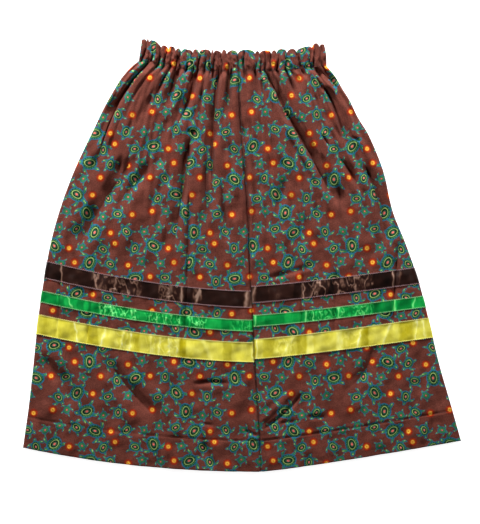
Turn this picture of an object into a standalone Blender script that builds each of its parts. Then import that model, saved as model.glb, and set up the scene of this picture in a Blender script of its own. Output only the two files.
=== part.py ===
"""Ribbon skirt laid flat, face up: two printed cotton panels, a gathered waist casing, three satin ribbons.

The frame is +X to the right of the laid skirt, +Y to its waist and +Z up. The origin is in the middle of the
outline, on the surface that the skirt lies on. Sizes in the tables are millimetres of the laid skirt.

Each panel is one wall that runs from the front seam over the front, round the side fold and along the back
to the back seam. Rows run across it, columns run down it. A row is placed by its share of the way from the
casing's stitch line, 0, to the hem, 1.
"""
import math
from dataclasses import dataclass

import bmesh
import bpy
import numpy as np

MM = 0.001


def named(columns, rows):
    """Give each row of a table its column names."""
    return [dict(zip(columns, row)) for row in rows]


# Walls
PANEL_WALL = 1.5
HEM_WALL = 2.1
CASING_WALL = 2.2
RIBBON_WALL = 1.0
SEAM_GAP = 0.3
LAYER_GAP = 0.4

# Cloth lengths from the casing's stitch line to the hem, along each edge
CLOTH_DROP = {"left": 781.0, "seam": 759.0, "right": 759.0}
HEM_DEPTH = 59.0

# Columns in each half: gathers of the front, steps round the side fold and columns of the back
GATHERS = 18
SIDE_STEPS = 4
BACK_COLUMNS = 8
CASING_BACK_COLUMNS = 18
SIDE_RADIUS = 6.0

# How uneven the gathers are: their spacing, their height, and how much flatter they lie underneath
SPACING_WAVE = 0.22
HEIGHT_WAVE = 0.25
BACK_TUCK = 0.6

# The laid outline, its seam and how each row bows from the seam to the side
OUTLINE_COLUMNS = (
    "share",
    "left_x",
    "left_y",
    "seam_x",
    "seam_y",
    "right_x",
    "right_y",
    "left_bow",
    "right_bow",
)
OUTLINE = (
    (0.00, -196, 370, -6, 348, 160, 359, 2.6, 2.2),
    (0.02, -207, 361, -5, 333, 171, 347, 2.6, 2.2),
    (0.04, -218, 350, -5, 317, 180, 335, 2.5, 2.1),
    (0.07, -232, 332, -5, 295, 191, 315, 2.4, 2.0),
    (0.10, -244, 312, -4, 272, 203, 296, 2.3, 2.0),
    (0.15, -263, 278, -2, 234, 220, 262, 2.2, 1.9),
    (0.20, -280, 242, 1, 196, 240, 229, 2.0, 1.8),
    (0.30, -314, 171, 8, 121, 268, 160, 1.9, 1.6),
    (0.40, -342, 98, 13, 45, 285, 87, 1.8, 1.4),
    (0.50, -363, 24, 15, -31, 313, 16, 1.8, 1.2),
    (0.60, -377, -53, 20, -106, 337, -55, 1.7, 1.15),
    (0.70, -388, -130, 23, -182, 356, -129, 1.7, 1.15),
    (0.80, -396, -208, 28, -258, 374, -205, 1.8, 1.15),
    (0.90, -405, -287, 33, -335, 395, -278, 1.9, 1.15),
    (1.00, -416, -365, 36, -411, 416, -352, 2.1, 1.15),
)

# The same for the casing, whose share is 0 at its stitch line and 1 at the top edge
CASING_OUTLINE = (
    (0.00, -196, 370, -6, 348, 160, 359, 2.6, 2.2),
    (0.50, -193, 389, -7, 367, 160, 377, 2.8, 2.4),
    (1.00, -190, 407, -8, 386, 156, 396, 3.0, 2.6),
)

# The heading ruffle's edge: how far it scallops with the gathers, and the taller ruffle near each side fold
SCALLOP = 1.6
CORNER_RUFFLE = 6.5
CORNER_REACH = 0.90
CORNER_SPREAD = 0.07

# Height of the front above the surface and how far the gathers rise and fall about it
LOFT_COLUMNS = ("share", "height", "gather")
LOFT = (
    (0.00, 7.8, 2.4),
    (0.05, 9.4, 2.2),
    (0.12, 9.8, 1.3),
    (0.22, 9.2, 0.6),
    (0.35, 8.2, 0.2),
    (0.55, 7.6, 0.0),
    (0.80, 7.2, 0.0),
    (0.93, 6.4, 0.0),
    (1.00, 5.6, 0.0),
)
CASING_LOFT = (
    (0.0, 7.6, 2.2),
    (0.5, 9.4, 2.0),
    (1.0, 8.0, 2.4),
)

# Rows of a panel above and below the ribbons. The creased rows have a column at each gather's crest and dip,
# the others at the crests alone.
CREASED_SHARES = (0.0, 0.02, 0.045, 0.075, 0.11, 0.15, 0.195, 0.24, 0.285, 0.33)
MIDDLE_SHARES = (0.375, 0.42, 0.465, 0.51)
LOWER_SHARES = (0.78, 0.83, 0.88)
CASING_SHARES = (1.0, 0.82, 0.45, 0.12, 0.0)
HEM_STEP = 4.5

# The underside is lifted over the ribbons, from this far above the first to this far below the last
BAND_STEP = 4.0

# Ribbons: width, and height of the lower edge above the hem, along the cloth, at four places
RIBBONS = named(
    ("name", "width", "left_side", "left_seam", "right_seam", "right_side", "colour"),
    (
        ("brown", 32.0, 322.0, 310.0, 319.0, 305.0, (0.026, 0.010, 0.008)),
        ("green", 21.5, 276.0, 265.0, 274.0, 259.0, (0.003, 0.352, 0.045)),
        ("yellow", 37.0, 215.0, 207.0, 213.0, 201.0, (0.680, 0.610, 0.032)),
    ),
)

# The largest folds of the front: three points of its line, half width, rise (a trough is negative)
FOLDS = named(
    ("name", "start", "middle", "end", "half_width", "rise"),
    (
        ("left deep trough", (-167, 367), (-222, 296), (-281, 158), 12, -6.4),
        ("left deep lip", (-150, 352), (-203, 284), (-260, 150), 14, 3.2),
        ("left edge roll", (-215, 345), (-256, 268), (-322, 110), 12, 1.2),
        ("left broad trough", (-170, 205), (-246, 150), (-285, 57), 30, -3.6),
        ("left broad rise", (-150, 300), (-190, 210), (-215, 40), 38, 3.0),
        ("left waist crease 1", (-124, 359), (-125, 325), (-124, 291), 9, -4.6),
        ("left waist crease 2", (-82, 345), (-84, 310), (-84, 276), 9, -5.0),
        ("left waist crease 3", (-53, 340), (-52, 270), (-49, 200), 10, -4.8),
        ("left long crease 1", (-99, 225), (-98, 150), (-101, 70), 11, -3.4),
        ("left long crease 2", (-61, 205), (-62, 130), (-61, 50), 12, -3.2),
        ("left long rise", (-76, 300), (-80, 200), (-80, 60), 13, 2.4),
        ("centre crease 1", (-30, 352), (-29, 325), (-30, 295), 9, -4.4),
        ("centre crease 2", (-2, 320), (-2, 300), (-3, 265), 9, -4.4),
        ("seam pinch", (-4, 252), (3, 160), (13, 60), 9, -2.6),
        ("right deep trough upper", (51, 330), (70, 298), (95, 262), 14, -7.0),
        ("right deep trough lower", (72, 255), (112, 215), (148, 135), 14, -6.0),
        ("right rise inside", (34, 322), (58, 240), (88, 130), 20, 3.2),
        ("right rise outside", (92, 330), (130, 240), (175, 120), 22, 3.6),
        ("right corner trough", (133, 365), (150, 345), (174, 322), 11, -5.6),
        ("right side crease", (158, 317), (179, 255), (198, 196), 10, -4.8),
        ("right side rise", (176, 312), (196, 255), (214, 190), 12, 2.4),
        ("right crease cluster", (181, 184), (203, 158), (232, 105), 12, -3.0),
        ("right edge valley", (236, 180), (256, 120), (276, 45), 20, -3.2),
        ("long pressed fold", (-103, 60), (-108, -60), (-112, -160), 14, -1.6),
        ("lower left trough", (-216, -240), (-195, -268), (-172, -295), 24, -2.2),
        ("left hem valley", (-338, -222), (-352, -262), (-372, -310), 28, -2.0),
        ("hem pinch trough", (28, -330), (80, -304), (120, -255), 17, -2.6),
        ("hem pinch ridge", (26, -314), (72, -286), (110, -242), 15, 2.8),
        ("right lower valley", (225, -215), (200, -236), (170, -262), 26, -1.8),
    ),
)
FOLD_SEGMENTS = 8
FOLD_END = 0.08
FOLD_TAPER = 0.6

COTTON_COLOUR = (0.162, 0.045, 0.032)
COTTON_ROUGHNESS = 0.85
SATIN_ROUGHNESS = 0.35
SHARP_ANGLE = 60


def smooth_column(table, names, column, share):
    """Read a table's column at a share, on a curve that never swings past the table's own values."""
    shares = np.array([row[0] for row in table], float)
    values = np.array([row[names.index(column)] for row in table], float)
    secants = np.diff(values) / np.diff(shares)
    slopes = np.concatenate([secants[:1], np.zeros(len(values) - 2), secants[-1:]])
    before, after = secants[:-1], secants[1:]
    same_way = before * after > 0
    slopes[1:-1][same_way] = 2.0 * before[same_way] * after[same_way] / (before + after)[same_way]
    share = np.asarray(share, float)
    i = np.clip(np.searchsorted(shares, share, side="right") - 1, 0, len(shares) - 2)
    step = shares[i + 1] - shares[i]
    t = (share - shares[i]) / step
    return (
        values[i] * (1 + 2 * t) * (1 - t) ** 2
        + slopes[i] * step * t * (1 - t) ** 2
        + values[i + 1] * t * t * (3 - 2 * t)
        + slopes[i + 1] * step * t * t * (t - 1)
    )


def fold_rise(x, y):
    """Height that the named folds add to the front at laid positions x and y."""
    rise = np.zeros_like(x)
    for fold in FOLDS:
        start, middle, end = (np.array(fold[key], float) for key in ("start", "middle", "end"))
        t = np.linspace(0.0, 1.0, FOLD_SEGMENTS + 1)[:, None]
        bend = 2.0 * middle - 0.5 * (start + end)
        line = (1 - t) ** 2 * start + 2 * t * (1 - t) * bend + t * t * end
        nearest = np.full_like(x, np.inf)
        along = np.zeros_like(x)
        for k in range(FOLD_SEGMENTS):
            a, b = line[k], line[k + 1]
            step = b - a
            reach = np.clip(((x - a[0]) * step[0] + (y - a[1]) * step[1]) / (step @ step), 0, 1)
            distance = np.hypot(x - a[0] - reach * step[0], y - a[1] - reach * step[1])
            closer = distance < nearest
            nearest = np.where(closer, distance, nearest)
            along = np.where(closer, (k + reach) / FOLD_SEGMENTS, along)
        across = np.clip(1.0 - (nearest / fold["half_width"]) ** 2, 0.0, 1.0) ** 2
        taper = np.sin(math.pi * (FOLD_END + (1 - 2 * FOLD_END) * along)) ** FOLD_TAPER
        rise += fold["rise"] * across * taper
    return rise


@dataclass
class Row:
    """One line across a panel or casing: its share at the side and at the seam, its wall, and what shapes it.

    lift raises its underside, creased gives it a column at each gather's dip, trim moves it up and ruffled
    scallops it.
    """

    side_share: float
    seam_share: float
    wall: float = PANEL_WALL
    lift: float = 0.0
    creased: bool = False
    casing: bool = False
    trim: float = 0.0
    ruffled: bool = False


def plan(side, row, reach):
    """Laid x and y of a row at the given reach, from 0 at the seam to 1 at the side fold."""
    table = CASING_OUTLINE if row.casing else OUTLINE
    edge = "left" if side < 0 else "right"
    share = row.seam_share + (row.side_share - row.seam_share) * reach

    def column(name):
        return smooth_column(table, OUTLINE_COLUMNS, name, share)

    x = column("seam_x") + (column(edge + "_x") - column("seam_x")) * reach
    y = column("seam_y") + (column(edge + "_y") - column("seam_y")) * reach ** column(edge + "_bow")
    return x, y + row.trim, share


def gather_steps(count, side):
    """Reach of each front column from the seam, as uneven as hand-spread gathers."""
    steps = np.arange(count + 1, dtype=float)
    steps[1:-1] += SPACING_WAVE * np.sin(2.1 * steps[1:-1] + side)
    return steps / count


def front_height(row, x, y, share, ridge):
    """Height of the front's outer face, where ridge is 1 on a gather's crest and -1 in its dip."""
    table = CASING_LOFT if row.casing else LOFT
    height = smooth_column(table, LOFT_COLUMNS, "height", share)
    height = height + ridge * smooth_column(table, LOFT_COLUMNS, "gather", share)
    if not row.casing:
        height = height + fold_rise(x, y)
    lowest = row.lift + 2.0 * row.wall + LAYER_GAP
    return np.maximum(height, lowest)


def columns_of(row, side):
    """Labels, outer points, inner points and outward directions of a row, from front seam to back seam."""
    x_seam, _, _ = plan(side, row, np.array([0.0]))
    x_side, _, _ = plan(side, row, np.array([1.0]))
    width = abs(float(x_side[0] - x_seam[0]))
    seam_reach = 0.5 * SEAM_GAP / width
    turn_reach = 1.0 - SIDE_RADIUS / width

    fine = gather_steps(2 * GATHERS, side)
    labels = np.arange(2 * GATHERS + 1)
    if not (row.creased or row.casing):
        fine = fine[::2]
        labels = labels[::2]
    front_reach = seam_reach + (turn_reach - seam_reach) * fine
    x, y, share = plan(side, row, front_reach)
    size = 1.0 - HEIGHT_WAVE + HEIGHT_WAVE * np.sin(1.3 * labels + 2.0 * side)
    ridge = np.where(labels % 2 == 0, size, -size)
    z = front_height(row, x, y, share, ridge)
    if row.ruffled:
        corner = np.exp(-(((front_reach - CORNER_REACH) / CORNER_SPREAD) ** 2))
        y = y + SCALLOP * ridge + CORNER_RUFFLE * corner
    out = np.stack([x, y, z], axis=1)
    away = np.tile([0.0, 0.0, 1.0], (len(x), 1))

    half = 0.5 * (z[-1] - row.lift)
    middle = row.lift + half
    turn = np.radians(90.0 - 180.0 * np.arange(1, SIDE_STEPS) / SIDE_STEPS)
    turn_x, turn_y, _ = plan(side, row, 1.0 - SIDE_RADIUS * (1.0 - np.cos(turn)) / width)
    turn_out = np.stack([turn_x, turn_y, middle + half * np.sin(turn)], axis=1)
    turn_away = np.stack([side * np.cos(turn), 0.0 * turn, np.sin(turn)], axis=1)

    back_count = CASING_BACK_COLUMNS if row.casing else BACK_COLUMNS
    back_steps = np.linspace(1.0, 0.0, back_count + 1)
    back_x, back_y, back_share = plan(side, row, seam_reach + (turn_reach - seam_reach) * back_steps)
    back_z = np.full(back_count + 1, row.lift)
    if row.casing:
        tuck = BACK_TUCK * smooth_column(CASING_LOFT, LOFT_COLUMNS, "gather", back_share)
        back_z = back_z + tuck * (np.arange(back_count + 1) % 2)
        back_z[-1] = row.lift
    back_out = np.stack([back_x, back_y, back_z], axis=1)
    back_away = np.tile([0.0, 0.0, -1.0], (back_count + 1, 1))

    out = np.concatenate([out, turn_out, back_out])
    away = np.concatenate([away, turn_away, back_away])
    rest = np.arange(len(out) - len(labels)) + 2 * GATHERS + 1
    labels = np.concatenate([labels, rest])
    return labels, out, out - away * row.wall, away


def band_share(height, place):
    """Share of a height above the hem, at the left side, the seam or the right side."""
    return 1.0 - height / CLOTH_DROP[place]


def ribbon_rows(ribbon, side):
    """The two rows of a panel that lie under a ribbon's upper and lower edges."""
    edge = "left" if side < 0 else "right"
    return [
        Row(
            band_share(ribbon[edge + "_side"] + rise, edge),
            band_share(ribbon[edge + "_seam"] + rise, "seam"),
            lift=RIBBON_WALL + SEAM_GAP,
        )
        for rise in (ribbon["width"], 0.0)
    ]


def panel_rows(side):
    """Rows of a panel from the casing down to the hem."""
    band = [row for ribbon in RIBBONS for row in ribbon_rows(ribbon, side)]
    step = BAND_STEP / CLOTH_DROP["seam"]
    hem = band_share(HEM_DEPTH, "seam")
    above_hem = band_share(HEM_DEPTH + HEM_STEP, "seam")
    rows = [Row(share, share, creased=True) for share in CREASED_SHARES]
    rows += [Row(share, share) for share in MIDDLE_SHARES]
    rows.append(Row(band[0].side_share - step, band[0].seam_share - step))
    rows += band
    rows.append(Row(band[-1].side_share + step, band[-1].seam_share + step))
    rows += [Row(share, share) for share in (*LOWER_SHARES, above_hem)]
    rows += [Row(share, share, HEM_WALL) for share in (hem, 0.5 * (1.0 + hem), 1.0)]
    return rows


def casing_rows():
    """Rows of the casing from its top edge down to its stitch line, a seam gap above the panel."""
    return [
        Row(share, share, CASING_WALL, casing=True, trim=SEAM_GAP, ruffled=share == CASING_SHARES[0])
        for share in CASING_SHARES
    ]


def bridge(bm, upper, lower, upper_labels, lower_labels):
    """Fill the strip between two rows whose columns carry labels, with triangles where one row has more."""
    i = j = 0
    while i < len(upper) - 1 or j < len(lower) - 1:
        next_upper = upper_labels[i + 1] if i < len(upper) - 1 else math.inf
        next_lower = lower_labels[j + 1] if j < len(lower) - 1 else math.inf
        if next_upper == next_lower:
            bm.faces.new((upper[i], upper[i + 1], lower[j + 1], lower[j]))
            i += 1
            j += 1
        elif next_upper < next_lower:
            bm.faces.new((upper[i], upper[i + 1], lower[j]))
            i += 1
        else:
            bm.faces.new((upper[i], lower[j + 1], lower[j]))
            j += 1


def add_wall(name, rows, material, collection):
    """Make one closed wall from rows of (labels, outer points, inner points)."""
    bm = bmesh.new()
    outer = [[bm.verts.new(point * MM) for point in out] for _, out, _ in rows]
    inner = [[bm.verts.new(point * MM) for point in inside] for _, _, inside in rows]
    labels = [row[0] for row in rows]
    for k in range(len(rows) - 1):
        bridge(bm, outer[k], outer[k + 1], labels[k], labels[k + 1])
        bridge(bm, inner[k], inner[k + 1], labels[k], labels[k + 1])
        for end in (0, -1):
            bm.faces.new((outer[k][end], outer[k + 1][end], inner[k + 1][end], inner[k][end]))
    for k in (0, -1):
        bridge(bm, outer[k], inner[k], labels[k], labels[k])
    bmesh.ops.recalc_face_normals(bm, faces=bm.faces)
    bmesh.ops.triangulate(bm, faces=bm.faces, quad_method="FIXED")
    mesh = bpy.data.meshes.new(name)
    bm.to_mesh(mesh)
    bm.free()
    mesh.shade_smooth()
    mesh.set_sharp_from_angle(angle=math.radians(SHARP_ANGLE))
    mesh.materials.append(material)
    collection.objects.link(bpy.data.objects.new(name, mesh))


def add_cloth(name, side, rows, material, collection):
    """Make a panel or a casing from its rows."""
    add_wall(name, [columns_of(row, side)[:3] for row in rows], material, collection)


def add_ribbon(name, side, ribbon, material, collection):
    """Make a ribbon from the panel's own points, moved out by the seam gap."""
    rows = []
    for row in ribbon_rows(ribbon, side):
        labels, out, _, away = columns_of(row, side)
        rows.append((labels, out + away * (SEAM_GAP + RIBBON_WALL), out + away * SEAM_GAP))
    add_wall(name, rows, material, collection)


def cloth_material(name, colour, roughness):
    """Principled material for one cloth."""
    material = bpy.data.materials.new(name)
    material.use_nodes = True
    shader = material.node_tree.nodes["Principled BSDF"]
    shader.inputs["Base Color"].default_value = (*colour, 1.0)
    shader.inputs["Roughness"].default_value = roughness
    shader.inputs["Metallic"].default_value = 0.0
    return material


def main():
    for old in list(bpy.context.scene.objects):
        bpy.data.objects.remove(old, do_unlink=True)
    skirt = bpy.data.collections.new("ribbon_skirt")
    bpy.context.scene.collection.children.link(skirt)
    cotton = cloth_material("printed_cotton", COTTON_COLOUR, COTTON_ROUGHNESS)
    satin = {
        ribbon["name"]: cloth_material("satin_" + ribbon["name"], ribbon["colour"], SATIN_ROUGHNESS)
        for ribbon in RIBBONS
    }
    for side, edge in ((-1, "left"), (1, "right")):
        add_cloth("panel_" + edge, side, panel_rows(side), cotton, skirt)
        add_cloth("casing_" + edge, side, casing_rows(), cotton, skirt)
        for ribbon in RIBBONS:
            name = ribbon["name"]
            add_ribbon(f"ribbon_{name}_{edge}", side, ribbon, satin[name], skirt)


main()
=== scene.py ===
"""Looks of a ribbon skirt laid flat: printed cotton, satin ribbons, stitches, floor, light and camera.

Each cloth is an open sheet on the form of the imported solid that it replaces. It runs over the front, round
the side fold and along the back. Sizes in the tables are millimetres of the laid skirt in the frame of the
solids: +X to the right of the skirt, +Y to its waist, +Z up. A share runs from the casing's stitch line, 0,
to the hem, 1, and a reach from the centre seam, 0, to the side fold, 1.
"""
import math

import bpy
import numpy as np
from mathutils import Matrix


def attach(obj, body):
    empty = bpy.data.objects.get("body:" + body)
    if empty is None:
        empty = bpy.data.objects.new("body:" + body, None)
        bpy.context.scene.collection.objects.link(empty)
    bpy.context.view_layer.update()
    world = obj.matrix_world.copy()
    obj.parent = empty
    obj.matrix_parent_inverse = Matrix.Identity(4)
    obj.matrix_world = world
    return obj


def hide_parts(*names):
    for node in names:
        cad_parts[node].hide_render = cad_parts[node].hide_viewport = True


MM = 0.001
EDGES = {-1: "left", 1: "right"}


def named(columns, rows):
    """Give each row of a table its column names."""
    return [dict(zip(columns, row)) for row in rows]


# Outline, the same as the solids'
OUTLINE_COLUMNS = "share left_x left_y seam_x seam_y right_x right_y left_bow right_bow".split()
OUTLINE = (
    (0.00, -196, 370, -6, 348, 160, 359, 2.6, 2.2),
    (0.02, -207, 361, -5, 333, 171, 347, 2.6, 2.2),
    (0.04, -218, 350, -5, 317, 180, 335, 2.5, 2.1),
    (0.07, -232, 332, -5, 295, 191, 315, 2.4, 2.0),
    (0.10, -244, 312, -4, 272, 203, 296, 2.3, 2.0),
    (0.15, -263, 278, -2, 234, 220, 262, 2.2, 1.9),
    (0.20, -280, 242, 1, 196, 240, 229, 2.0, 1.8),
    (0.30, -314, 171, 8, 121, 268, 160, 1.9, 1.6),
    (0.40, -342, 98, 13, 45, 285, 87, 1.8, 1.4),
    (0.50, -363, 24, 15, -31, 313, 16, 1.8, 1.2),
    (0.60, -377, -53, 20, -106, 337, -55, 1.7, 1.15),
    (0.70, -388, -130, 23, -182, 356, -129, 1.7, 1.15),
    (0.80, -396, -208, 28, -258, 374, -205, 1.8, 1.15),
    (0.90, -405, -287, 33, -335, 395, -278, 1.9, 1.15),
    (1.00, -416, -365, 36, -411, 416, -352, 2.1, 1.15),
)
CASING_OUTLINE = (
    OUTLINE[0],
    (0.50, -193, 389, -7, 367, 160, 377, 2.8, 2.4),
    (1.00, -190, 407, -8, 386, 156, 396, 3.0, 2.6),
)
CASING_HEIGHT = 38.0
CLOTH_DROP = {"left": 781.0, "seam": 759.0, "right": 759.0}
HEM_DEPTH = 59.0
SIDE_RADIUS = 4.5

# Height of the front above the surface, before folds
LOFT_COLUMNS = ("share", "height")
LOFT = (
    (0.00, 10.5),
    (0.05, 12.8),
    (0.12, 13.4),
    (0.22, 13.0),
    (0.35, 12.4),
    (0.55, 11.4),
    (0.80, 9.2),
    (0.93, 7.6),
    (1.00, 5.6),
)
CASING_LOFT = (
    (0.0, 11.0),
    (0.5, 12.6),
    (1.0, 10.6),
)

# Ribbons: width, and height of the lower edge above the hem, along the cloth, at four places
RIBBONS = named(
    ("name", "width", "left_side", "left_seam", "right_seam", "right_side"),
    (
        ("brown", 32.0, 322.0, 310.0, 319.0, 305.0),
        ("green", 21.5, 276.0, 265.0, 274.0, 259.0),
        ("yellow", 37.0, 215.0, 207.0, 213.0, 201.0),
    ),
)

# Sheen of each ribbon's front, painted into its colour. A crease has a place, a width, a slant and the
# brightness of the highlight painted along it. A span of painted shade or painted highlight, or a crush that
# gets painted glints, runs from one place to another and has a strength. The back's sheen is the front's,
# moved sideways
CREASES_AND_PAINTED_HIGHLIGHTS = {
    "brown": (
        (-342, 1.6, 0.0, 0.5), (-278, 1.8, -0.3, 0.5), (-240, 1.6, 0.15, 0.5), (-137, 3.0, 0.2, 0.4),
        (-114, 1.8, 0.1, 0.6), (-84, 2.6, 0.3, 0.6), (8, 3.4, 0.1, 0.5), (21, 2.6, 0.3, 0.5),
        (114, 1.6, 0.0, 0.4), (286, 1.7, 0.0, 0.6), (298, 1.6, 0.1, 0.25), (318, 1.2, 0.0, 0.1),
    ),
    "green": (
        (-349, 1.4, 0.0, 0.35), (-327, 1.8, -0.3, 0.6), (-269, 1.6, 0.0, 0.5), (-260, 1.4, 0.0, 0.4),
        (-248, 2.0, -0.2, 0.5), (-210, 1.6, 0.1, 0.5), (-202, 1.6, -0.1, 0.4), (-161, 2.0, 0.0, 0.5),
        (-143, 2.0, 0.2, 0.5), (-117, 1.6, 0.0, 0.4), (-100, 1.6, 0.0, 0.4), (25, 1.8, 0.0, 0.6),
        (121, 1.8, 0.0, 0.6), (133, 2.4, -0.1, 0.4), (184, 3.0, 0.2, 0.4), (237, 3.0, 0.1, 0.35),
        (289, 2.0, 0.0, 0.6), (325, 1.8, 0.2, 0.6),
    ),
    "yellow": (
        (-350, 1.4, 0.0, 0.2), (-313, 1.8, -0.15, 0.5), (-264, 2.2, 0.3, 0.5), (-227, 1.8, 0.1, 0.35),
        (-212, 1.6, 0.1, 0.4), (-172, 1.8, -0.1, 0.4), (-157, 1.8, 0.15, 0.4), (-138, 2.0, 0.0, 0.4),
        (-124, 3.0, 0.1, 0.35), (-64, 4.0, -0.4, 0.3), (20, 1.6, 0.0, 0.5), (28, 1.6, 0.0, 0.5),
        (84, 4.0, 0.6, 0.3), (221, 2.2, 0.25, 0.5), (271, 2.6, 0.4, 0.45), (329, 1.8, 0.1, 0.5),
        (345, 1.8, -0.15, 0.4),
    ),
}
# Spans of painted shade (negative) and painted highlight (positive) on each ribbon
PAINTED_SHEEN_TONES = {
    "brown": (
        (-400, -345, -0.25), (-340, -281, -0.13), (-190, -158, -0.25), (-110, -93, -0.25), (-76, 3, -0.2),
        (27, 50, -0.22), (52, 97, -0.08), (98, 113, -0.25), (164, 174, -0.3), (247, 283, -0.3),
        (290, 400, -0.2),
    ),
    "green": (
        (-400, -336, -0.25), (-312, -299, -0.25), (-291, -272, -0.25), (-114, -103, -0.35),
        (-38, -24, -0.25), (44, 80, -0.2), (112, 118, -0.3), (172, 179, -0.3), (249, 283, -0.3),
        (293, 321, -0.25),
    ),
    "yellow": (
        (-400, -318, -0.15), (-293, -272, -0.3), (-118, -106, -0.4), (-205, -194, -0.3), (-36, -20, -0.25),
        (23, 26, -0.4), (40, 60, -0.22), (104, 122, -0.3), (123, 135, 0.3), (179, 190, 0.3),
        (225, 239, -0.3), (298, 323, -0.3),
    ),
}
# Spans of crushed satin, which get real bumps and painted glints
CRUSHES_AND_PAINTED_GLINTS = {
    "brown": ((-283, -194, 0.9), (-156, -118, 0.9), (-91, -76, 0.7), (112, 247, 1.0)),
    "green": ((-270, -197, 0.8), (-182, -114, 0.8), (-101, -68, 0.8), (-18, 18, 0.6), (125, 247, 0.7)),
    "yellow": ((-240, -205, 0.25), (-180, -118, 0.3), (62, 100, 0.3), (190, 222, 0.2)),
}
# Painted sheen and crush outside all spans
PLAIN_PAINTED_SHEEN = 0.42
PLAIN_CRUSH_AND_PAINTED_GLINTS = 0.10
BACK_SHIFT = 131.0

# Lift of the panels' underside over the ribbons, and the width of its slopes
BAND_LIFT = 1.3
BAND_STEP = 4.0

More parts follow.
